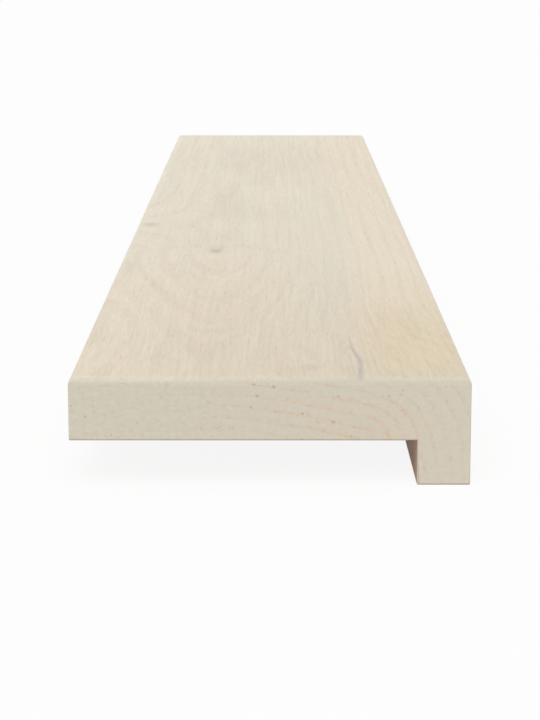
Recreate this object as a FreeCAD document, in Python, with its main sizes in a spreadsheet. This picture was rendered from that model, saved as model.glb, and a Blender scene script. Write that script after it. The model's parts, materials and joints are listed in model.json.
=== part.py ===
import FreeCAD, Part

import math
import os

import Sketcher

# Window sill board in solid oak, worked from one piece to an L section. The flat board carries things,
# and the nose along its room side drops below the underside to cover the edge of the wall.
#
# Millimetres. X runs from the back edge, at the window, to the face of the nose. Y runs along the window
# and Z is up. The origin is at the middle of the footprint, level with the bottom of the nose.

NODE = "window_sill_board"

# Driving dimensions: alias, value, what it measures.
SIZES = [
    ("board_length", 1000, "end to end, along the window"),
    ("board_depth", 150, "back edge to the face of the nose"),
    ("board_thickness", 24, "underside to top face"),
    ("nose_thickness", 20, "inner face to outer face of the nose"),
    ("nose_drop", 17, "underside of the board to the bottom of the nose"),
    ("top_arris_radius", 3, "round on the four edges of the top face"),
    ("lower_arris_radius", 0.5, "easing of all other outer edges"),
    ("inner_corner_radius", 1, "cove where the nose meets the underside"),
]

# Faces whose normals differ by less than SMOOTH_ANGLE run on smoothly, and points nearer than SAME_PLACE
# are one point.
SMOOTH_ANGLE = math.radians(1)
SAME_PLACE = 1e-4


def make_sheet(doc):
    """Spreadsheet of driving dimensions, one row each, with the value in column B under its alias."""
    sheet = doc.addObject("Spreadsheet::Sheet", "sizes")
    for row, (alias, value, note) in enumerate(SIZES, start=1):
        sheet.set(f"A{row}", alias)
        sheet.set(f"B{row}", str(value))
        sheet.setAlias(f"B{row}", alias)
        sheet.set(f"C{row}", note)
    doc.recompute()
    return sheet


def origin_plane(body, role):
    """One of the body's own origin planes, such as XZ_Plane."""
    return next(feature for feature in body.Origin.OriginFeatures if feature.Role == role)


def draw_section(body, sheet):
    """Sharp-cornered L section, seen along the board, standing on the X axis and centred on Z."""
    back, front = -sheet.board_depth / 2, sheet.board_depth / 2
    inner = front - sheet.nose_thickness
    underside = sheet.nose_drop
    top = underside + sheet.board_thickness
    corners = [
        (back, underside),
        (inner, underside),
        (inner, 0),
        (front, 0),
        (front, top),
        (back, top),
    ]

    sketch = body.newObject("Sketcher::SketchObject", "section")
    sketch.AttachmentSupport = [(origin_plane(body, "XZ_Plane"), "")]
    sketch.MapMode = "FlatFace"

    points = [FreeCAD.Vector(x, z, 0) for x, z in corners]
    sides = [
        sketch.addGeometry(Part.LineSegment(start, end))
        for start, end in zip(points, points[1:] + points[:1])
    ]
    underside_line, inner_line, bottom_line, front_line, top_line, back_line = sides
    for side, following in zip(sides, sides[1:] + sides[:1]):
        sketch.addConstraint(Sketcher.Constraint("Coincident", side, 2, following, 1))
    for side in (underside_line, bottom_line):
        sketch.addConstraint(Sketcher.Constraint("Horizontal", side))
    for side in (inner_line, front_line, back_line):
        sketch.addConstraint(Sketcher.Constraint("Vertical", side))

    # The bottom of the nose lies on the X axis. Symmetry about the Z axis centres the top face and
    # keeps it level, so it needs no Horizontal constraint.
    x_axis, z_axis = -1, -2
    sketch.addConstraint(Sketcher.Constraint("PointOnObject", bottom_line, 1, x_axis))
    sketch.addConstraint(Sketcher.Constraint("Symmetric", top_line, 1, top_line, 2, z_axis))

    measured = [
        ("board_depth", "DistanceX", top_line, 2, 1),
        ("board_thickness", "DistanceY", back_line, 2, 1),
        ("nose_thickness", "DistanceX", bottom_line, 1, 2),
        ("nose_drop", "DistanceY", inner_line, 2, 1),
    ]
    for alias, kind, line, start, end in measured:
        value = sheet.get(alias)
        index = sketch.addConstraint(Sketcher.Constraint(kind, line, start, line, end, value))
        sketch.renameConstraint(index, alias)
        sketch.setExpression(f"Constraints.{alias}", f"sizes.{alias}")
    return sketch


def pad_along_window(body, section):
    """The section run out to the board's length, half of it each way along Y."""
    pad = body.newObject("PartDesign::Pad", "stock")
    pad.Profile = section
    pad.SideType = "Symmetric"
    pad.setExpression("Length", "sizes.board_length")
    return pad


def edge_names(shape, wanted):
    """Names of the edges of a shape for which wanted(edge) is true."""
    return [f"Edge{number}" for number, edge in enumerate(shape.Edges, start=1) if wanted(edge)]


def is_sharp(shape, edge):
    """True where the two faces beside an edge meet at an angle."""
    middle = edge.valueAt((edge.FirstParameter + edge.LastParameter) / 2)
    faces = shape.ancestorsOfType(edge, Part.Face)
    normals = [face.normalAt(*face.Surface.parameter(middle)) for face in faces]
    return normals[0].getAngle(normals[1]) > SMOOTH_ANGLE


def round_edges(doc, body, name, base, wanted, radius_alias):
    """Fillet feature on the edges of base that wanted picks, with its radius from the sheet."""
    doc.recompute()
    names = edge_names(base.Shape, wanted)
    fillet = body.newObject("PartDesign::Fillet", name)
    fillet.Base = (base, names)
    fillet.setExpression("Radius", f"sizes.{radius_alias}")
    doc.recompute()
    return fillet


def build_board(doc, sheet):
    """The whole board: padded section, then the cove, the round top arrises and the eased rest."""
    body = doc.addObject("PartDesign::Body", NODE)
    body.Label = NODE
    stock = pad_along_window(body, draw_section(body, sheet))

    inner_x = sheet.board_depth / 2 - sheet.nose_thickness
    underside_z = sheet.nose_drop
    top_z = sheet.nose_drop + sheet.board_thickness

    def in_inner_corner(edge):
        return all(
            math.hypot(vertex.X - inner_x, vertex.Z - underside_z) < SAME_PLACE
            for vertex in edge.Vertexes
        )

    def beside_top_face(edge):
        return all(abs(vertex.Z - top_z) < SAME_PLACE for vertex in edge.Vertexes)

    cove = round_edges(doc, body, "inner_cove", stock, in_inner_corner, "inner_corner_radius")
    top = round_edges(doc, body, "top_arrises", cove, beside_top_face, "top_arris_radius")

    def still_sharp(edge):
        return isinstance(edge.Curve, Part.Line) and is_sharp(top.Shape, edge)

    round_edges(doc, body, "lower_arrises", top, still_sharp, "lower_arris_radius")
    return body


def check(doc, body):
    """Stop before anything is written if a feature failed or the body is not one sound solid."""
    failed = [obj.Name for obj in doc.Objects if {"Invalid", "Error"} & set(obj.State)]
    if failed:
        raise RuntimeError(f"failed features: {failed}")
    if body.Shape.isNull() or not body.Shape.isValid() or len(body.Shape.Solids) != 1:
        raise RuntimeError(f"{body.Label} is not one valid solid")


def main():
    doc = FreeCAD.newDocument("window_sill")
    sheet = make_sheet(doc)
    board = build_board(doc, sheet)
    doc.recompute()
    check(doc, board)

    box = board.Shape.BoundBox
    print(f"{board.Label}: {box.XLength:.3f} x {box.YLength:.3f} x {box.ZLength:.3f} mm,")
    print(f"{len(board.Shape.Faces)} faces, {board.Shape.Volume / 1e6:.4f} litres")

    os.makedirs("parts", exist_ok=True)
    board.Shape.exportStep(f"parts/{board.Label}.step")


main()
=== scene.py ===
# %% [markdown]
# # A window sill board in white-oiled oak
#
# One length of solid oak, worked to an L section: a flat board, and a nose along its room side that drops
# over the edge of the wall. The CAD model holds the true section. This notebook gives the board its fine
# arrises, the drying check near one end, and above all its wood.
#
# The frame comes first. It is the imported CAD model, in metres, and it is never moved. The board's corners
# and the faces that touch the wall are read from it, so those sizes aren't typed in again.

# %% Load the frame and read the board's sizes from it
import json
import math

import bmesh
import bpy
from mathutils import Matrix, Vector


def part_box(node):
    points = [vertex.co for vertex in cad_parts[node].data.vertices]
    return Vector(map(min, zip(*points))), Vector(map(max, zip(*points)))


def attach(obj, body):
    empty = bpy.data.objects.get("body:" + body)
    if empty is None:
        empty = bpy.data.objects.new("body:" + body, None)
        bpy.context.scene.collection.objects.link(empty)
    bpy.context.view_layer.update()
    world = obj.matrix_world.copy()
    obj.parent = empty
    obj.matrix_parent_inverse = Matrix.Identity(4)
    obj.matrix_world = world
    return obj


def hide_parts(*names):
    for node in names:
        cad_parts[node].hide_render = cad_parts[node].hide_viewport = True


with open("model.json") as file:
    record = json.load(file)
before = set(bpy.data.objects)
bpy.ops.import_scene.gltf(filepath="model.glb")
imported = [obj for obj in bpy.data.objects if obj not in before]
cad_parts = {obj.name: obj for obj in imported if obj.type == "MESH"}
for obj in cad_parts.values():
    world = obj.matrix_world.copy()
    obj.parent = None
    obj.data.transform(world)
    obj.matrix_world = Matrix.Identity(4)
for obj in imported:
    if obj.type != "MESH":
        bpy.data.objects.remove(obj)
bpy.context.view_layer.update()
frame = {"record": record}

MM = 0.001
NODE = "window_sill_board"

low, high = (Vector(corner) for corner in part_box(NODE))
faces = {mount["name"]: Vector(mount["pos_m"]) for mount in frame["record"]["mounts"]}
underside = faces["underside"].z
nose_inner = faces["nose_back"].x
print("board", [round(size / MM, 2) for size in high - low], "mm, underside at", round(underside / MM, 2))

# %% [markdown]
# ## The board as a plain block
#
# A joiner starts from a sawn plank, and so does this: a cube, stretched to the flat part of the board. The
# strip under the room side is parted from the rest of the underside by a bisect and pulled down to make
# the nose. A limited dissolve then removes the lines between faces that lie in one plane, which leaves
# twelve corners, as a drawing of the section would have.

# %% A helper that picks parts of a mesh by their place


def pick(piece, kind, wanted):
    """Select, of the piece in edit mode, only the verts, edges or faces (kind) that wanted accepts."""
    mesh = bmesh.from_edit_mesh(piece.data)
    for parts in (mesh.verts, mesh.edges, mesh.faces):
        for part in parts:
            part.select = False
    found = [part for part in getattr(mesh, kind) if wanted(part)]
    for part in found:
        part.select_set(True)
    bmesh.update_edit_mesh(piece.data)
    return len(found)


# %% Saw the plank and pull down the nose
FACING_DOWN = -0.9
SAME_PLANE = math.radians(1)

bpy.ops.object.select_all(action="DESELECT")
bpy.ops.mesh.primitive_cube_add(size=1, location=(0, 0, (underside + high.z) / 2))
board = bpy.context.object
board.name = "oak_board"
board.dimensions = (high.x - low.x, high.y - low.y, high.z - underside)
bpy.ops.object.transform_apply(location=True, rotation=True, scale=True)


def under_board(face):
    """True for the faces of the underside."""
    return face.normal.z < FACING_DOWN


bpy.ops.object.mode_set(mode="EDIT")
bpy.ops.mesh.select_mode(type="FACE")
pick(board, "faces", under_board)
bpy.ops.mesh.bisect(plane_co=(nose_inner, 0, 0), plane_no=(1, 0, 0))
pick(board, "faces", lambda face: under_board(face) and face.calc_center_median().x > nose_inner)
bpy.ops.mesh.extrude_region_move(TRANSFORM_OT_translate={"value": (0, 0, low.z - underside)})
bpy.ops.mesh.select_all(action="SELECT")
bpy.ops.mesh.dissolve_limited(angle_limit=SAME_PLANE)
bpy.ops.object.mode_set(mode="OBJECT")
print("block:", len(board.data.vertices), "corners,", len(board.data.polygons), "faces")

# %% [markdown]
# ## Rounding the arrises
#
# The four edges round the top are worked to a full 3 mm round, because hands and curtains touch them. All
# the others are only eased with sandpaper. One Bevel modifier makes both: every edge carries a weight, and
# the modifier's width is multiplied by it. Doing both in one step lets Blender blend the two sizes at the
# corners, which two bevels after each other would not.

# %% Weigh the edges and bevel them
TOP_ROUND = 3 * MM
EASED_ROUND = 0.5 * MM
ROUND_SEGMENTS = 10

bpy.ops.object.mode_set(mode="EDIT")
bpy.ops.mesh.select_mode(type="EDGE")
bpy.ops.mesh.select_all(action="SELECT")
bpy.ops.transform.edge_bevelweight(value=EASED_ROUND / TOP_ROUND)
top_edges = pick(board, "edges", lambda edge: min(vert.co.z for vert in edge.verts) > high.z - EASED_ROUND)
bpy.ops.transform.edge_bevelweight(value=1)
bpy.ops.object.mode_set(mode="OBJECT")

bpy.ops.object.modifier_add(type="BEVEL")
rounding = board.modifiers[-1]
rounding.limit_method = "WEIGHT"
rounding.width = TOP_ROUND
rounding.segments = ROUND_SEGMENTS
rounding.use_clamp_overlap = False
bpy.ops.object.modifier_apply(modifier=rounding.name)
print(top_edges, "edges round the top,", len(board.data.polygons), "faces after rounding")

# %% [markdown]
# ## The drying check
#
# Near the end the top has a check, a narrow split that opened along the fibres while the wood dried. Only a
# small patch of the top face is cut finely enough to carry it: two bisects along the board and one across
# it fence the patch off, and subdivide fills it with small faces. Each push takes a shorter stretch than
# the last, so the split gets deeper towards its middle.
#
# The check has two soft bends. `smooth` gives such a bend its shape, and later every soft change of colour.
# A pair of numbers for it is a span: where the change starts and where it ends.

# %% Where the check runs, in mm


def smooth(value, start, end):
    """0 before start, 1 after end and a soft S between them, for a number or for a shader value."""
    if isinstance(value, (int, float)):
        share = min(max((value - start) / (end - start), 0), 1)
        return share * share * (3 - 2 * share)
    return value.finish.node(
        "MapRange",
        {"interpolation_type": "SMOOTHSTEP"},
        {"Value": value, "From Min": start, "From Max": end, "To Min": 0, "To Max": 1},
    )["Result"]


CHECK_LENGTH = 105
CHECK_X = 33.5
CHECK_BENDS = [
    {"sideways": 1.3, "along": (0, 30)},
    {"sideways": -2.5, "along": (29, 66)},
]


def check_line(along):
    """Distance of the check from the middle of the board, at a distance from the near end."""
    line = CHECK_X
    for bend in CHECK_BENDS:
        line = line + bend["sideways"] * smooth(along, *bend["along"])
    return line


print("the check starts", check_line(0), "mm from the middle, ends at", round(check_line(CHECK_LENGTH), 1))

# %% Fence off a patch round the check
PATCH_LEFT = 27
PATCH_RIGHT = 39
PATCH_END = 96
PATCH_CUTS = 48
FLAT = 0.9999
HAIR = 0.01 * MM


def on_top(face):
    """True for the faces in the plane of the top."""
    return face.normal.z > FLAT and face.calc_center_median().z > high.z - HAIR


def in_strip(face):
    """True for the faces of the top between the two long cuts."""
    return on_top(face) and PATCH_LEFT * MM < face.calc_center_median().x < PATCH_RIGHT * MM


bpy.ops.object.mode_set(mode="EDIT")
bpy.ops.mesh.select_mode(type="FACE")
for side in (PATCH_LEFT, PATCH_RIGHT):
    pick(board, "faces", on_top)
    bpy.ops.mesh.bisect(plane_co=(side * MM, 0, 0), plane_no=(1, 0, 0))
patch_end = low.y + PATCH_END * MM
pick(board, "faces", in_strip)
bpy.ops.mesh.bisect(plane_co=(0, patch_end, 0), plane_no=(0, 1, 0))
pick(board, "faces", lambda face: in_strip(face) and face.calc_center_median().y < patch_end)
bpy.ops.mesh.subdivide(number_cuts=PATCH_CUTS)
bpy.ops.object.mode_set(mode="OBJECT")
print("the patch is cut into", (PATCH_CUTS + 1) ** 2, "faces")

# %% Press the check into the patch
PUSHES = [
    {"along": (4, 78), "depth": 0.06},
    {"along": (6, 60), "depth": 0.08},
    {"along": (9, 46), "depth": 0.12},
]
SLOPE = 0.8

bpy.ops.object.mode_set(mode="EDIT")
bpy.ops.mesh.select_mode(type="VERT")
half_face = (PATCH_RIGHT - PATCH_LEFT) / (PATCH_CUTS + 1) / 2
for push in PUSHES:
    first, last = push["along"]

    def on_check(vert):
        """True for the vertices of the top on this stretch of the check."""
        along = (vert.co.y - low.y) / MM
        beside = vert.co.x / MM - check_line(along)
        return first < along < last and abs(beside) <= half_face and vert.co.z > high.z - TOP_ROUND

    count = pick(board, "verts", on_check)
    bpy.ops.transform.translate(
        value=(0, 0, -push["depth"] * MM),
        use_proportional_edit=True,
        proportional_edit_falloff="SMOOTH",
        proportional_size=SLOPE * MM,
    )
    print("pressed", count, "vertices down by", push["depth"], "mm")
bpy.ops.object.mode_set(mode="OBJECT")

# %% [markdown]
# ## Smooth arrises, flat faces
#
# Rounded edges shade smoothly, but the large faces must stay flat in the light. A Weighted Normal modifier
# does that: at each vertex the largest face decides the normal, and the small faces of the rounds take up
# the turn.

# %% Shade the board
SMOOTH_UP_TO = math.radians(40)
LARGEST_DECIDES = 100

bpy.ops.object.shade_smooth_by_angle(angle=SMOOTH_UP_TO)
bpy.ops.object.modifier_add(type="WEIGHTED_NORMAL")
flat_faces = board.modifiers[-1]
flat_faces.keep_sharp = True
flat_faces.weight = LARGEST_DECIDES
bpy.ops.object.modifier_apply(modifier=flat_faces.name)
print(len(board.data.polygons), "faces in all")

# %% [markdown]
# ## Writing a material as sums
#
# Wood is mostly arithmetic: distances from the pith, from a knot, from a split. Blender does arithmetic
# with Math nodes, and wiring them one by one hides the sum. The small class below wraps a node's output,
# so that an expression such as `1 - mask * 0.5` adds the Math nodes by itself. A second class is the
# material: its method `node` adds any other node, sets it up and links it, and its other methods use that.

# %% Values that add Math nodes


class Value:
    """An output socket of a node, to reckon with."""

    def __init__(self, finish, socket):
        self.finish = finish
        self.socket = socket

    def math(self, operation, first, second=0):
        sockets = {"Value": first, "Value_001": second}
        return self.finish.node("Math", {"operation": operation}, sockets)["Value"]

    def __add__(self, other):
        return self.math("ADD", self, other)

    def __radd__(self, other):
        return self.math("ADD", other, self)

    def __sub__(self, other):
        return self.math("SUBTRACT", self, other)

    def __rsub__(self, other):
        return self.math("SUBTRACT", other, self)

    def __mul__(self, other):
        return self.math("MULTIPLY", self, other)

    def __rmul__(self, other):
        return self.math("MULTIPLY", other, self)

    def __truediv__(self, other):
        return self.math("DIVIDE", self, other)

    def __rtruediv__(self, other):
        return self.math("DIVIDE", other, self)

    def __pow__(self, other):
        return self.math("POWER", self, other)

    def __rpow__(self, other):
        return self.math("POWER", other, self)

    def __abs__(self):
        return self.math("ABSOLUTE", self)

    def least(self, other):
        return self.math("MINIMUM", self, other)

    def most(self, other):
        return self.math("MAXIMUM", self, other)

    def root(self):
        return self.math("SQRT", self)

    def part(self):
        return self.math("FRACT", self)


# %% The finish that holds the nodes


class Finish:
    """The node tree of a material or a world."""

    def __init__(self, tree):
        self.tree = tree
        self.tree.nodes.clear()

    def node(self, kind, settings=None, inputs=None):
        """Add a node, set it up, feed its inputs, and give back its outputs by their names."""
        made = self.tree.nodes.new("ShaderNode" + kind)
        for name, setting in (settings or {}).items():
            setattr(made, name, setting)
        sockets = {socket.identifier: socket for socket in made.inputs}
        for name, source in (inputs or {}).items():
            if isinstance(source, Value):
                self.tree.links.new(source.socket, sockets[name])
            else:
                sockets[name].default_value = source
        return {socket.identifier: Value(self, socket) for socket in made.outputs}

    def point(self, x, y, z):
        return self.node("CombineXYZ", {}, {"X": x, "Y": y, "Z": z})["Vector"]

    def noise(self, x, y, z, detail=2.0, roughness=0.5):
        """Soft noise about 0, mostly between -0.5 and 0.5."""
        shape = {"Vector": self.point(x, y, z), "Scale": 1.0, "Detail": detail, "Roughness": roughness}
        return self.node("TexNoise", {}, shape)["Fac"] - 0.5

    def blend(self, share, first, second):
        """Mix of two colours."""
        inputs = {"Factor_Float": share, "A_Color": first, "B_Color": second}
        return self.node("Mix", {"data_type": "RGBA"}, inputs)["Result_Color"]


def paint(red, green, blue):
    """A colour as a picture program gives it, 0 to 255, turned by the sRGB curve into linear values."""
    def linear(level):
        level = level / 255
        return level / 12.92 if level <= 0.04045 else ((level + 0.055) / 1.055) ** 2.4
    return (linear(red), linear(green), linear(blue), 1)


print("paint(128, 128, 128) is", round(paint(128, 128, 128)[0], 3))

# %% [markdown]
# ## Fibres
#
# All of the pattern follows the fibres, which run along the board. Round the larger knot the trunk was
# swollen, and the fibres part round that swelling as water parts round an island. Near the room side they
# drift a little sideways. `trunk` is the sideways place of a fibre without the swelling, and `fibre` the
# place with it: both stay the same all along a fibre, so a pattern drawn over them bends with the wood.
#
# The material reads Object coordinates, turned into millimetres: `x` across the board, `z` up, and `along`
# from the near end. `grain` is noise that is drawn out along the fibres, as most things in wood are.

# %% Measure the surface in mm
oak_material = bpy.data.materials.new("white_oiled_oak")
oak_material.use_nodes = True
oak = Finish(oak_material.node_tree)

surface = oak.node("TexCoord")
in_mm = oak.node(
    "VectorMath",
    {"operation": "SCALE"},
    {"Vector": surface["Object"], "Scale": 1 / MM},
)["Vector"]
place = oak.node("SeparateXYZ", {}, {"Vector": in_mm})
x = place["X"]
z = place["Z"]
along = place["Y"] - low.y / MM


def grain(sideways, width, length, **shape):
    """Noise in patches of this width across the fibres and this length along them."""
    return oak.noise(sideways / width, z / width, along / length, **shape)


print("the surface is measured from the near end, at", round(low.y / MM), "mm")

# %% Follow the fibres along the board
ROOM_DRIFT = {"sideways": 9, "along": (0, 170), "x": (22, 48)}
TRUNK_WANDER = 5
SWELLING = {"x": -32, "along": 240, "width": 66, "length": 260, "lean": 0.05, "push": 0.25}
SWELLING_START = (0, 140)

trunk = x + ROOM_DRIFT["sideways"] * smooth(along, *ROOM_DRIFT["along"]) * smooth(x, *ROOM_DRIFT["x"])
trunk = trunk + TRUNK_WANDER * grain(x, width=60, length=260, detail=1)
ahead = along - SWELLING["along"]
aside = x - SWELLING["x"] + SWELLING["lean"] * ahead
beside = aside / SWELLING["width"] * 2
beyond = ahead / SWELLING["length"] * 2
swollen = smooth(along, *SWELLING_START) / (1 + beside * beside + beyond * beyond)
fibre = trunk - SWELLING["push"] * aside * swollen
print("fibres part round a swelling", SWELLING["width"], "mm wide")

# %% [markdown]
# ## Growth rings on the end
#
# The pith of this tree lay low in the board, under its right half. From there the rings rise to a flat
# crown in the left half and turn down round the nose, where they stand almost upright, as the end shows.
# A ring's number is the distance from the pith, stretched a little, divided by the width of a ring.

# %% Measure the distance from the pith
RING_WIDTH = 4.4
RING_STRETCH = 1.23
PITH_X = 33
PITH_Z = 18
PITH_TILT = math.radians(14.5)
CROWN_X = -28
CROWN_ROUND = 40
UPRIGHT_SPAN = (54, 76)
LEAN_LOST = 0.8
HEIGHT_LOST = 0.42
BELOW_PITH_SPAN = (30, 45)

crown = ((trunk - CROWN_X) ** 2 + CROWN_ROUND**2).root()
crown_at_pith = math.hypot(PITH_X - CROWN_X, CROWN_ROUND)
height = (z - PITH_Z + math.tan(PITH_TILT) * (crown - crown_at_pith)) * math.cos(PITH_TILT)
upright = smooth(trunk, *UPRIGHT_SPAN)
lean = math.sin(PITH_TILT) * (1 - LEAN_LOST * upright)
past_pith = (trunk - PITH_X) * math.cos(PITH_TILT) - abs(z - PITH_Z) * lean
turn = past_pith.most(0) / RING_STRETCH
from_pith = (height.most(0) ** 2 * (1 - HEIGHT_LOST * upright) + turn * turn).root()
from_pith = from_pith + height.least(0) * (1 - smooth(trunk, *BELOW_PITH_SPAN))
print("rings", RING_WIDTH, "mm wide round a pith", PITH_X, "mm from the middle")

# %% [markdown]
# ## Growth rings along the board
#
# Along the board the tree was not straight: on the left the rings climb through the top face up to the
# larger knot, and get steeper on both sides of it. Where the face cuts through them it shows nested arches.
# Along the room side the rings hardly climb, so the grain runs straight there.
#
# A tree grows round its branches, so each of the two knots also lifts the rings near it. At the smaller
# one, on the back edge, the grain therefore sweeps out to that edge from both sides. Behind the larger one
# the wood closes over the knot in a flat line, like the lid of an eye.

# %% Let the rings climb, and lift them at the knots
CLIMB = {"rings": 3.6, "along": (5, 320), "x": (0, 36), "lost": 0.85}
STEEPER_START = (0, 120)
STEEPER = [
    {"rings": 3.0, "x": (-18, 30)},
    {"rings": 1.6, "x": (-24, -75)},
]
FIRST_RING = 0.23
LARGE_KNOT = {"x": -28.3, "along": 333, "width": 7.0, "length": 13, "dark": 0.47}
EDGE_KNOT = {"x": -67.5, "along": 440, "width": 11, "length": 16, "dark": 0.36}
LIFTS = [
    {**LARGE_KNOT, "width": 28, "length": 52, "rings": 0.6},
    {**EDGE_KNOT, "width": 64, "length": 150, "rings": 2.0},
]


def offset(spot, sideways):
    """How far a point lies beside a spot and beyond it, each 1 at the spot's edge."""
    beside = (sideways - spot["x"]) / spot["width"] * 2
    beyond = (along - spot["along"]) / spot["length"] * 2
    return beside, beyond


climb = CLIMB["rings"] * smooth(along, *CLIMB["along"]) * (1 - CLIMB["lost"] * smooth(trunk, *CLIMB["x"]))
steeper = 0
for slope in STEEPER:
    steeper = steeper + slope["rings"] * smooth(trunk, *slope["x"])
ring = from_pith / RING_WIDTH + FIRST_RING + smooth(along, *STEEPER_START) * steeper - climb
for lift in LIFTS:
    beside, beyond = offset(lift, trunk)
    ring = ring - lift["rings"] / (1 + beside * beside + beyond * beyond) ** 2
print("the rings climb by", CLIMB["rings"], "and are lifted at", len(LIFTS), "knots")

# %% Close the wood behind the larger knot
EYE = {"half_width": 34, "lid": (342, 366), "bow": 22, "corner": (0.8, 1.4), "rings": 0.5, "z": (30, 40)}
RING_WANDER = 0.45

off_eye = abs(x - LARGE_KNOT["x"]) / EYE["half_width"]
past_eye = smooth(along + EYE["bow"] * off_eye * off_eye, *EYE["lid"])
in_eye = 1 - smooth(off_eye, *EYE["corner"])
eyelid = 4 * past_eye * (1 - past_eye) * in_eye * smooth(z, *EYE["z"])
ring = ring + EYE["rings"] * past_eye * in_eye
ring = ring + RING_WANDER * grain(trunk, width=14, length=90, detail=2)
print("the eyelid lies", EYE["lid"][0] - LARGE_KNOT["along"], "mm behind the knot")

# %% [markdown]
# ## The year in a ring
#
# `age` is the part of a ring's year that has passed, from 0 to 1. Each year starts with soft spring wood,
# full of large pores, and the change from the year before makes a thin line. One dark year draws the
# clearest of the arches.

# %% Find the spring wood of each ring
RINGS_BELOW = 8
DARK_YEAR_END = (230, 360)


def band(value, rise, fall):
    """0 outside a band and 1 in it: the value comes in over the span rise and leaves over the span fall."""
    return smooth(value, *rise) * (1 - smooth(value, *fall))


age = (ring + RINGS_BELOW).part()
spring_wood = band(age, rise=(0, 0.06), fall=(0.12, 0.45))
ring_line = band(age, rise=(0, 0.1), fall=(0.12, 0.36))
soft_wood = band(age, rise=(0, 0.1), fall=(0.15, 0.6))
dark_year = band(ring, rise=(1.9, 2.15), fall=(2.2, 2.55)) * (1 - smooth(along, *DARK_YEAR_END))
print("rings so far:", len(oak_material.node_tree.nodes), "nodes")

# %% [markdown]
# ## Pores and rays
#
# Oak's large pores are thin tubes along the fibres. Cut along, they show as short dark dashes, and on the
# sawn end as dots. Both come from one pattern: cells a millimetre wide and 30 mm long, of which each may
# hold one pore. Pores crowd in the spring wood of each ring, and the rest of the ring has few. Towards the
# back edge the oil has filled most of those of the end. The rays are thinner dashes, spread evenly.
#
# On the sawn end the saw also smeared the soft wood. Cells that are long along a ring and thin across it
# make these smears: some rings have many, some have none.

# %% Find the end grain and its open pores
END_GRAIN = (0.25, 0.7)
SAWN_END = (0.9, 0.99)
OPEN_SPAN = (-32, -2)
OPEN_WANDER = 40
NOSE_SPAN = (50, 60)

normal = oak.node("SeparateXYZ", {}, {"Vector": surface["Normal"]})
facing_end = abs(normal["Y"])
end_grain = smooth(facing_end, *END_GRAIN)
sawn_end = smooth(facing_end, *SAWN_END)
open_pores = smooth(x + OPEN_WANDER * grain(x, width=25, length=80, detail=1), *OPEN_SPAN)
in_nose = smooth(x, *NOSE_SPAN)
print("the pores of the end are open from about", OPEN_SPAN[1], "mm")

# %% Draw the pores
PORE_WIDTH = 1.1
PORE_LENGTH = 30
CROWD_ON_FACE = {"anywhere": 0.14, "spring": 0.6}
CROWD_ON_END = {"anywhere": 0.05, "spring": 0.06, "open_spring": 0.3}
HAS_PORE = (0, 0.08)
WIDEST = (0.8, 0.9)
PORE_REACH = {"least": 0.2, "girth": 0.28, "end": 0.26, "widest": 0.3}
DASH_EDGE = (0.2, 1.0)


def cells(across, upward, onward):
    """Cells of size 1 in these three directions: distance from a cell's middle, and two random numbers."""
    found = oak.node("TexVoronoi", {}, {"Vector": oak.point(across, upward, onward), "Scale": 1.0})
    draws = oak.node("SeparateColor", {}, {"Color": found["Color"]})
    return {"distance": found["Distance"], "chance": draws["Red"], "girth": draws["Green"]}


tube = cells(fibre / PORE_WIDTH, z / PORE_WIDTH, along / PORE_LENGTH)
crowd_on_face = CROWD_ON_FACE["anywhere"] + CROWD_ON_FACE["spring"] * spring_wood
in_spring = CROWD_ON_END["spring"] + CROWD_ON_END["open_spring"] * open_pores
crowd_on_end = CROWD_ON_END["anywhere"] + in_spring * spring_wood
crowd = crowd_on_face * (1 - end_grain) + crowd_on_end * sawn_end
widest = smooth(tube["girth"], *WIDEST) * sawn_end * open_pores * (1 - in_nose)
reach = PORE_REACH["least"] + PORE_REACH["girth"] * tube["girth"]
reach = reach + PORE_REACH["end"] * end_grain + PORE_REACH["widest"] * widest
pore = smooth(crowd - tube["chance"], *HAS_PORE) * (1 - smooth(tube["distance"] / reach, *DASH_EDGE))
print("pores are", PORE_LENGTH, "mm long")

# %% Draw the rays and the smears
RAY_WIDTH = 0.9
RAY_LENGTH = 13
RAY_SHIFT = 50
RAY_REACH = {"least": 0.22, "girth": 0.2}
SMEARS_ACROSS = 2.1
SMEAR_LENGTH = 5
SMEAR_DEPTH = 30
HAS_SMEAR = (-0.1, 0.5)
SMEAR_EDGE = (0.05, 0.95)
SMEAR_LOST_IN_NOSE = 0.45

plate = cells(fibre / RAY_WIDTH + RAY_SHIFT, z / RAY_WIDTH, along / RAY_LENGTH)
reach = RAY_REACH["least"] + RAY_REACH["girth"] * plate["girth"]
ray = (1 - end_grain) * (1 - smooth(plate["distance"] / reach, *DASH_EDGE))

torn = cells(SMEARS_ACROSS * ring, (x - z) / SMEAR_LENGTH, along / SMEAR_DEPTH)
smear = smooth(soft_wood - torn["chance"], *HAS_SMEAR) * (1 - smooth(torn["distance"], *SMEAR_EDGE))
smear = smear * open_pores * sawn_end * (1 - SMEAR_LOST_IN_NOSE * in_nose)
print("rays are", RAY_LENGTH, "mm long, smears", SMEAR_LENGTH)

# %% [markdown]
# ## Fine fibres, knots and the check
#
# Between the pores the wood has a fine grain at four scales: `streak`, `vein` and `flame` run along the
# fibres, each coarser than the last, and `layer` follows the rings, so that the arches show in the light
# and dark of the wood as well as in its pores. The end has a `mottle` of its own.
#
# The knots are small and pale grey-brown, with a tail towards the near end. The larger one has a faint halo
# behind it, and two more spots are hardly darker than the wood.

# %% Draw the fine fibres
LAYER = {"per_ring": 3.5, "shift": 0.7, "width": 30, "length": 150}
MOTTLE = {"width": 2.2, "height": 1.7, "length": 40}

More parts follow.
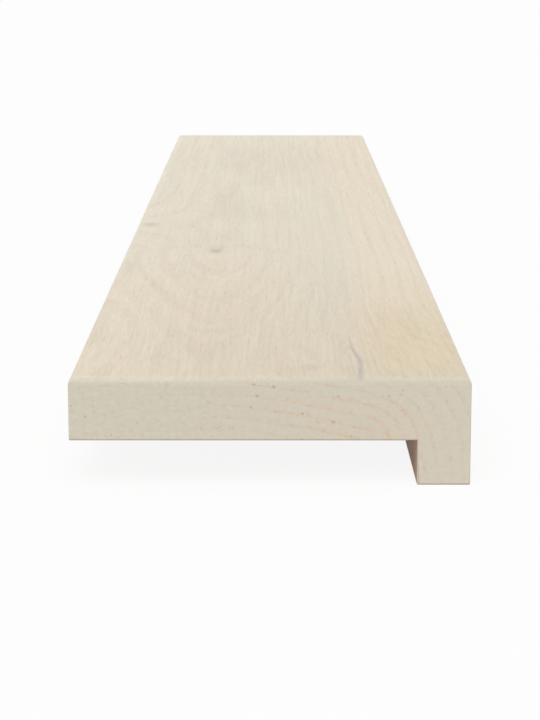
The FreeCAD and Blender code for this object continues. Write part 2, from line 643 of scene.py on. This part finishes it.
streak = grain(fibre, width=0.9, length=10, detail=2, roughness=0.6)
vein = grain(fibre, width=1.7, length=90, detail=2, roughness=0.6)
flame = grain(fibre, width=6, length=100, detail=2)
across_rings = LAYER["per_ring"] * ring + LAYER["shift"]
layer = oak.noise(across_rings, trunk / LAYER["width"], along / LAYER["length"], detail=2)
mottle = oak.noise(x / MOTTLE["width"], z / MOTTLE["height"], along / MOTTLE["length"], detail=3)
print("fine fibres at four scales")

# %% Draw the knots
FAINT_SPOTS = [
    {"x": -68, "along": 280, "width": 12, "length": 34, "dark": 0.11},
    {"x": 15.5, "along": 21, "width": 8, "length": 12, "dark": 0.22},
]
KNOT_EDGE = (0.1, 1.4)
KNOT_TAIL = 0.6
KNOT_WANDER = {"by": 0.5, "width": 3, "height": 30, "length": 6}
KNOT_DEPTH = (22, 38)
HALO = {"dark": 0.2, "behind": 1.4, "wide": 2, "long": 3, "edge": (0.3, 1.6)}

uneven = oak.noise(
    x / KNOT_WANDER["width"], z / KNOT_WANDER["height"], along / KNOT_WANDER["length"], detail=2
)
uneven = KNOT_WANDER["by"] * uneven
on_knot_side = smooth(z, *KNOT_DEPTH)
knot_core = 0
for knot in [LARGE_KNOT, EDGE_KNOT, *FAINT_SPOTS]:
    beside, beyond = offset(knot, x)
    trailing = beyond.most(beyond * -KNOT_TAIL)
    apart = (beside * beside + trailing * trailing).root() + uneven
    knot_core = knot_core + knot["dark"] * (1 - smooth(apart, *KNOT_EDGE)) * on_knot_side

beside, beyond = offset(LARGE_KNOT, x)
beyond = beyond - HALO["behind"]
apart = (beside * beside / HALO["wide"] + beyond * beyond / HALO["long"]).root() + uneven
knot_halo = HALO["dark"] * (1 - smooth(apart, *HALO["edge"])) * on_knot_side
print("2 knots and", len(FAINT_SPOTS), "faint spots")

# %% Draw the check
CHECK_WANDER = {"by": 0.5, "length": 7, "width": 40}
CHECK_WIDTH = {"least": 0.65, "more": 0.35, "narrows": (40, 85)}
CHECK_FADES = (40, CHECK_LENGTH)
CHECK_DEPTH = (39, 40.7)
CHECK_EDGE = (0.3, 1.6)
DEEP_START = (20, 50)
DEEP_EDGE = (0.1, 0.5)

uneven = oak.noise(
    along / CHECK_WANDER["length"], x / CHECK_WANDER["width"], z / CHECK_WANDER["width"], detail=1
)
off_check = x - check_line(along) + CHECK_WANDER["by"] * uneven
check_width = CHECK_WIDTH["least"] + CHECK_WIDTH["more"] * (1 - smooth(along, *CHECK_WIDTH["narrows"]))
check_there = (1 - smooth(along, *CHECK_FADES)) * smooth(z, *CHECK_DEPTH)
check_dark = check_there * (1 - smooth(abs(off_check) / check_width, *CHECK_EDGE))
# The thin core along the middle of the check is painted shade of the open split.
split_shade = check_there * smooth(along, *DEEP_START) * (1 - smooth(abs(off_check), *DEEP_EDGE))
haze = check_there * band(off_check, rise=(-9, -1), fall=(0, 3))
print("the check fades out", CHECK_LENGTH, "mm from the end")

# %% [markdown]
# ## The colours of white-oiled oak
#
# White oil leaves a pale cream with very little contrast, so the palette is a row of creams that hardly
# differ. The darker colours are never seen pure: each is mixed in with a small share.

# %% Mix the palette
cool_cream = paint(228, 220, 201)
warm_cream = paint(222, 210, 188)
back_cool = paint(231, 222, 203)
back_warm = paint(230, 218, 196)
room_cool = paint(232, 220, 198)
room_warm = paint(223, 208, 179)
spring_pink = paint(222, 202, 183)
pore_brown = paint(190, 170, 150)
ray_brown = paint(203, 187, 167)
knot_brown = paint(180, 160, 146)
check_grey = paint(176, 170, 162)
# Painted shade for the open split in the middle of the check:
split_shade_grey = paint(140, 134, 128)

end_cream = paint(212, 204, 187)
end_pink = paint(214, 191, 167)
end_line = paint(202, 187, 166)
end_pore = paint(213, 182, 146)
deep_pore = paint(186, 152, 124)
filled_pore = paint(176, 168, 150)

# Bare oak's dark brown, which is also painted shade for the wall side and the faces that point down:
bare_oak_and_shade = paint(182, 146, 116)
# Painted shade for the lower edges of the ends and the round above them:
painted_shade_grey = paint(150, 140, 120)
# Painted highlight for the round edges of the top:
painted_highlight_cream = paint(240, 231, 213)

cloud_pink = paint(226, 206, 188)
cloud_rose = paint(238, 214, 191)
cloud_orange = paint(218, 192, 162)
cloud_green = paint(218, 216, 199)
cloud_dim = paint(218, 207, 189)
cloud_light = paint(242, 234, 213)
cloud_grey = paint(204, 200, 186)
print("the palette runs from", [round(level, 2) for level in split_shade_grey[:3]], "to",
      [round(level, 2) for level in cloud_light[:3]])

# %% [markdown]
# ## The tone of the top
#
# The tone drifts slowly over the board: cool and light at the far end and the back edge, warmer at the near
# end and yellower along the room side. Broad clouds make it here a little pinker, there greener, dimmer or
# lighter, and greyer at the near corner of the room side. Spring wood is pinker too, and pores are a dull
# brown-pink.

# %% Lay the slow drift and the clouds
DRIFT = 12
NEAR_SPAN = (20, 400)
NEAR_ROOM_SPAN = (30, 290)
BACK_SPAN = (20, 75)
ROOM_SPAN = (32, 50)
CLOUD_SHARE = 0.16
CLOUDS = [
    {"x": 5, "along": 795, "width": 80, "length": 240, "colour": cloud_pink},
    {"x": -28, "along": 570, "width": 28, "length": 200, "colour": cloud_pink},
    {"x": -25, "along": 225, "width": 76, "length": 220, "colour": cloud_rose},
    {"x": 48, "along": 100, "width": 28, "length": 130, "colour": cloud_orange},
    {"x": 22, "along": 215, "width": 24, "length": 220, "colour": cloud_green},
    {"x": 5, "along": 780, "width": 85, "length": 130, "colour": cloud_dim},
    {"x": -15, "along": 485, "width": 45, "length": 80, "colour": cloud_dim},
    {"x": -40, "along": 270, "width": 24, "length": 70, "colour": cloud_dim},
    {"x": 2, "along": 605, "width": 55, "length": 80, "colour": cloud_light},
    {"x": 0, "along": 960, "width": 170, "length": 140, "colour": cloud_light},
    {"x": 56, "along": 8, "width": 46, "length": 46, "colour": cloud_grey},
]
CLOUD_EDGE = (0.1, 1.6)


def cloudy(beside, beyond):
    """1 in the middle of an oval cloud, and 0 a little past its edge."""
    return 1 - smooth(beside * beside + beyond * beyond, *CLOUD_EDGE)


near = 1 - smooth(along, *NEAR_SPAN)
near_room = 1 - smooth(along, *NEAR_ROOM_SPAN)
drift = DRIFT * grain(x, width=50, length=200, detail=1)
tone = oak.blend(near, cool_cream, warm_cream)
tone = oak.blend(smooth(drift - x, *BACK_SPAN), tone, oak.blend(near, back_cool, back_warm))
tone = oak.blend(smooth(x + drift, *ROOM_SPAN), tone, oak.blend(near_room, room_cool, room_warm))
for cloud in CLOUDS:
    tone = oak.blend(cloudy(*offset(cloud, x)) * CLOUD_SHARE, tone, cloud["colour"])
print(len(CLOUDS), "clouds")

# %% Lay the rings, rays and pores over it
SHARE = {"spring": 0.1, "ring_line": 0.12, "dark_year": 0.09, "eyelid": 0.055, "ray": 0.25, "pore": 0.42}

pinker = spring_wood * SHARE["spring"] + ring_line * SHARE["ring_line"] + dark_year * SHARE["dark_year"]
tone = oak.blend(pinker, tone, spring_pink)
tone = oak.blend(eyelid * SHARE["eyelid"], tone, pore_brown)
tone = oak.blend(ray * SHARE["ray"], tone, ray_brown)
tone = oak.blend(pore * SHARE["pore"], tone, pore_brown)
print("a pore hides", SHARE["pore"], "of the tone under it, and a ray", SHARE["ray"])

# %% [markdown]
# ## The tone of the end
#
# The end grain drinks more oil and comes out greyer. Each ring starts there with a thin darker line, broken
# in places, and the wood round the pith is warmer. Open pores show as orange dots, of which the widest are
# brown, and filled ones as grey specks. In the nose they are paler.

# %% Lay the tone of the end
END_SHARE = {"filled": 0.034, "line": 0.22, "heart": 0.16, "pore": 0.68}
SMEAR_SHARE = {"anywhere": 0.52, "heart": 0.35}
PORE_LOST_IN_NOSE = 0.24
LINE_THERE = (-0.12, 0.08)
HEART = {"x": 38, "z": 23, "width": 50, "height": 20}

end_tone = oak.blend((1 - open_pores) * END_SHARE["filled"], end_cream, filled_pore)
line_there = smooth(grain(x, width=4, length=30, detail=1), *LINE_THERE)
line_share = ring_line * line_there * open_pores * sawn_end * END_SHARE["line"]
end_tone = oak.blend(line_share, end_tone, end_line)
beside_heart = (x - HEART["x"]) / HEART["width"] * 2
above_heart = (z - HEART["z"]) / HEART["height"] * 2
heart = cloudy(beside_heart, above_heart)
end_tone = oak.blend(heart * END_SHARE["heart"], end_tone, end_pink)
smear_share = SMEAR_SHARE["anywhere"] + SMEAR_SHARE["heart"] * heart
end_tone = oak.blend(smear * smear_share, end_tone, end_pink)
open_pore = oak.blend(widest, end_pore, deep_pore)
pore_share = END_SHARE["pore"] - PORE_LOST_IN_NOSE * in_nose
end_tone = oak.blend(pore * pore_share, end_tone, oak.blend(open_pores, filled_pore, open_pore))
tone = oak.blend(end_grain, tone, end_tone)
print("the heart lies", HEART["x"], "mm from the middle")

# %% [markdown]
# ## Painted shade, painted highlights and bare wood
#
# Three more things are painted into the colour. The faces that meet the wall, with all that point down, get
# the dark brown of oak left almost without oil, and this brown is also painted shade for the dark under the
# board and round the foot of the nose. The lower edges of the ends get a thin grey line of painted shade,
# and so, more faintly, does the lower half of the round above each end. And the round edges of the top are
# painted a little lighter, as a painted highlight.

# %% Paint shade on the wall side and on the edges of the end
NOSE_CORNER = (nose_inner / MM + 0.3, nose_inner / MM + 1)
UNDERSIDE_CORNER = (underside / MM + 0.2, underside / MM + 0.9)
POINTS_DOWN = (-0.1, -0.6)
LOW_EDGE = (0.2, 0.9)
LOW_EDGE_SHARE = {"board": 0.28, "nose": 0.3}
END_ROUND_TOP = (37, 38)
END_ROUND_SHARE = 0.1

beyond_nose = smooth(x, *NOSE_CORNER)
above_wall = smooth(z, *UNDERSIDE_CORNER)
at_wall = (1 - beyond_nose) * (1 - above_wall) * (1 - end_grain)
facing_down = smooth(normal["Z"], *POINTS_DOWN)
# Painted shade: the wall faces and all faces that point down take a dark brown, the bare oak colour
# standing in for the shade under the board and the nose.
tone = oak.blend(at_wall.most(facing_down), tone, bare_oak_and_shade)

above_edge = (z - underside / MM * (1 - beyond_nose)).most(0)
edge_share = (LOW_EDGE_SHARE["board"] + LOW_EDGE_SHARE["nose"] * beyond_nose) * end_grain
# Painted shade: a thin grey line along the lower edges of the ends.
tone = oak.blend((1 - smooth(above_edge, *LOW_EDGE)) * edge_share, tone, painted_shade_grey)
end_round = band(facing_end, rise=(0.68, 0.9), fall=(0.955, 0.997)) * smooth(z, *END_ROUND_TOP)
# Painted shade: a fainter grey on the lower half of the round above each end.
tone = oak.blend(end_round * END_ROUND_SHARE, tone, painted_shade_grey)
print("bare oak from", round(UNDERSIDE_CORNER[1], 1), "mm downwards")

# %% Paint highlights on the round edges of the top
BACK_EDGE = (-68.5, -73)
BACK_HIGHLIGHT = (350, 800)
NEAR_HIGHLIGHT = (20, -50)
NEAR_HIGHLIGHT_SHARE = 0.4
HIGHLIGHT_TOP = (37, 39)
HIGHLIGHT_SHARE = 0.4

room_side = band(normal["X"], rise=(0.1, 0.5), fall=(0.8, 0.98))
back_side = smooth(x, *BACK_EDGE) * smooth(along, *BACK_HIGHLIGHT)
near_side = end_grain * (1 - sawn_end) * smooth(x, *NEAR_HIGHLIGHT) * NEAR_HIGHLIGHT_SHARE
highlight_mask = room_side.most(back_side).most(near_side) * smooth(z, *HIGHLIGHT_TOP)
# Painted highlight: the rounds of the room side and the back edge, and the left part of the round above the
# near end, are made lighter.
tone = oak.blend(highlight_mask * HIGHLIGHT_SHARE, tone, painted_highlight_cream)
# Where the painted highlight along the back edge starts:
print("the back edge is worn from", BACK_HIGHLIGHT[0], "mm on")

CHECK_SHARE = {"haze": 0.15, "dark": 0.4, "core": 0.2}

tone = oak.blend(knot_halo, tone, knot_brown)
tone = oak.blend(knot_core, tone, knot_brown)
tone = oak.blend(haze * CHECK_SHARE["haze"], tone, check_grey)
tone = oak.blend(check_dark * CHECK_SHARE["dark"], tone, check_grey)
# Painted shade: a thin darker grey down the middle of the check, where the split lies in shade.
tone = oak.blend(split_shade * CHECK_SHARE["core"], tone, split_shade_grey)
print("the larger knot hides", LARGE_KNOT["dark"], "of the tone under it")

# %% [markdown]
# ## Light and dark of the grain
#
# The fine fibres make the wood lighter and darker without changing its hue, so they multiply the tone. The
# grain is calmer round the larger knot, most of all in the room half. Pores are hollow, so the bump presses
# them in and they shine less. The oil itself is matt.

# %% Multiply the grain into the tone
CONTRAST = {"streak": 0.25, "vein": 0.19, "flame": 0.08, "layer": 0.15, "end": 0.5, "mottle": 0.22}
ROOM_HALF = (-10, 20)
CALM = {"fibres": 0.25, "room_fibres": 0.15, "layer": 0.35}
LAYER_LOST_IN_ROOM_HALF = 0.4
MOTTLE_LOST_IN_OPEN_PORES = 0.6

calm = band(along, rise=(140, 280), fall=(420, 600))
room_half = smooth(x, *ROOM_HALF)
fibres = CONTRAST["streak"] * streak + CONTRAST["vein"] * vein + CONTRAST["flame"] * flame
texture = fibres * (1 - calm * (CALM["fibres"] + CALM["room_fibres"] * room_half))
layers = CONTRAST["layer"] * layer * (1 - CALM["layer"] * calm)
texture = texture + layers * (1 - LAYER_LOST_IN_ROOM_HALF * room_half)
end_mottle = CONTRAST["mottle"] * mottle * (1 - MOTTLE_LOST_IN_OPEN_PORES * open_pores)
end_texture = CONTRAST["end"] * texture + end_mottle
shade = 1 + texture * (1 - end_grain) + end_texture * end_grain
grey = oak.node("CombineColor", {}, {"Red": shade, "Green": shade, "Blue": shade})["Color"]
colour = oak.node(
    "Mix",
    {"data_type": "RGBA", "blend_type": "MULTIPLY"},
    {"Factor_Float": 1.0, "A_Color": tone, "B_Color": grey},
)["Result_Color"]
print("streaks make the wood lighter or darker by up to", CONTRAST["streak"] / 2)

# %% Oil the oak
STREAK_RELIEF = 0.5
BUMP = {"Strength": 0.5, "Distance": 0.03 * MM}
MATT = {"least": 0.6, "pore": 0.12, "streak": 0.1}

relief = STREAK_RELIEF * streak - pore
bump = oak.node("Bump", {}, {**BUMP, "Height": relief})["Normal"]
oiled = oak.node(
    "BsdfPrincipled",
    {},
    {
        "Base Color": colour,
        "Roughness": MATT["least"] + MATT["pore"] * pore + MATT["streak"] * streak,
        "Normal": bump,
        "Specular IOR Level": 0.3,
    },
)["BSDF"]
oak.node("OutputMaterial", {}, {"Surface": oiled})
board.data.materials.append(oak_material)
print("oak finish:", len(oak_material.node_tree.nodes), "nodes")

# %% [markdown]
# ## Floor and backdrop
#
# The board lies on a plain pale floor that runs into a white background. To the camera the floor is mostly
# plain white, with a share of real light left in it, so that the soft shadow under the board stays.

# %% Lay the floor
GLOW = 0.9
FLOOR_SIZE = 16
FLOOR_GAP = 0.05 * MM
PALE = (0.9, 0.9, 0.9, 1)
WHITE = (1, 1, 1, 1)


def seen(finish):
    """1 for what the camera sees, directly or by way of a mirror or glass, and 0 for lighting."""
    path = finish.node("LightPath")
    return path["Is Camera Ray"].most(path["Is Glossy Ray"]).most(path["Is Transmission Ray"])


bpy.ops.mesh.primitive_plane_add(size=FLOOR_SIZE, location=(0, 0, low.z - FLOOR_GAP))
floor = bpy.context.object
floor.name = "floor"
floor_material = bpy.data.materials.new("pale_floor")
floor_material.use_nodes = True
pale = Finish(floor_material.node_tree)
matt = pale.node("BsdfDiffuse", {}, {"Color": PALE})["BSDF"]
white = pale.node("Emission", {}, {"Color": WHITE, "Strength": 1.0})["Emission"]
mixed = pale.node("MixShader", {}, {"Fac": GLOW * seen(pale), "Shader": matt, "Shader_001": white})
pale.node("OutputMaterial", {}, {"Surface": mixed["Shader"]})
floor.data.materials.append(floor_material)
print("the floor is", FLOOR_SIZE, "m wide")

# %% [markdown]
# ## Light
#
# The room gives an even fill. The main light is a Sun lamp with a very wide disk, from above, in front and
# a little to the left: a sun lights the whole length alike, where a near lamp would fade towards the far
# end, and its width keeps the shadow soft.

# %% Fill the room with light
ROOM_LIGHT = 0.563

world = bpy.data.worlds.new("studio")
bpy.context.scene.world = world
world.use_nodes = True
room = Finish(world.node_tree)
soft = room.node("Background", {}, {"Color": WHITE, "Strength": ROOM_LIGHT})["Background"]
white = room.node("Background", {}, {"Color": WHITE, "Strength": 1.0})["Background"]
mixed = room.node("MixShader", {}, {"Fac": seen(room), "Shader": soft, "Shader_001": white})
room.node("OutputWorld", {}, {"Surface": mixed["Shader"]})
print("the room gives a light of", ROOM_LIGHT)

# %% Hang the main light
SUN_FROM = Vector((-0.45, -1.4, 2.0))
SUN_STRENGTH = 1.46
SUN_WIDTH = math.radians(50)

bpy.ops.object.light_add(type="SUN", location=SUN_FROM)
sun = bpy.context.object
sun.name = "soft_sun"
sun.data.energy = SUN_STRENGTH
sun.data.angle = SUN_WIDTH
sun.rotation_euler = (-SUN_FROM).to_track_quat("-Z", "Y").to_euler()
print("sun", round(math.degrees(math.asin(SUN_FROM.normalized().z))), "degrees above the floor")

# %% [markdown]
# ## Camera
#
# The camera looks along the board from a little above its near end. A long lens, 0.8 m off, keeps the
# upright edges almost parallel.

# %% Set up the camera
LENS = 111.6
SENSOR = 36
CAMERA_BACK = 811.4 * MM
CAMERA_RISE = 162.7 * MM
CAMERA_SIDE = 0.7 * MM
LOOK_DOWN = math.radians(10.89)
LOOK_LEFT = math.radians(0.043)

bpy.ops.object.camera_add(
    location=(CAMERA_SIDE, low.y - CAMERA_BACK, high.z + CAMERA_RISE),
    rotation=(math.pi / 2 - LOOK_DOWN, 0, LOOK_LEFT),
)
camera = bpy.context.object
camera.data.lens = LENS
camera.data.sensor_width = SENSOR
bpy.context.scene.camera = camera
bpy.context.scene.view_settings.view_transform = "Standard"
print("camera at", [round(value, 3) for value in camera.location])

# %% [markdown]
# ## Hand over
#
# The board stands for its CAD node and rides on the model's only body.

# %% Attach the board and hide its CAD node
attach(board, "root")
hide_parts(NODE)
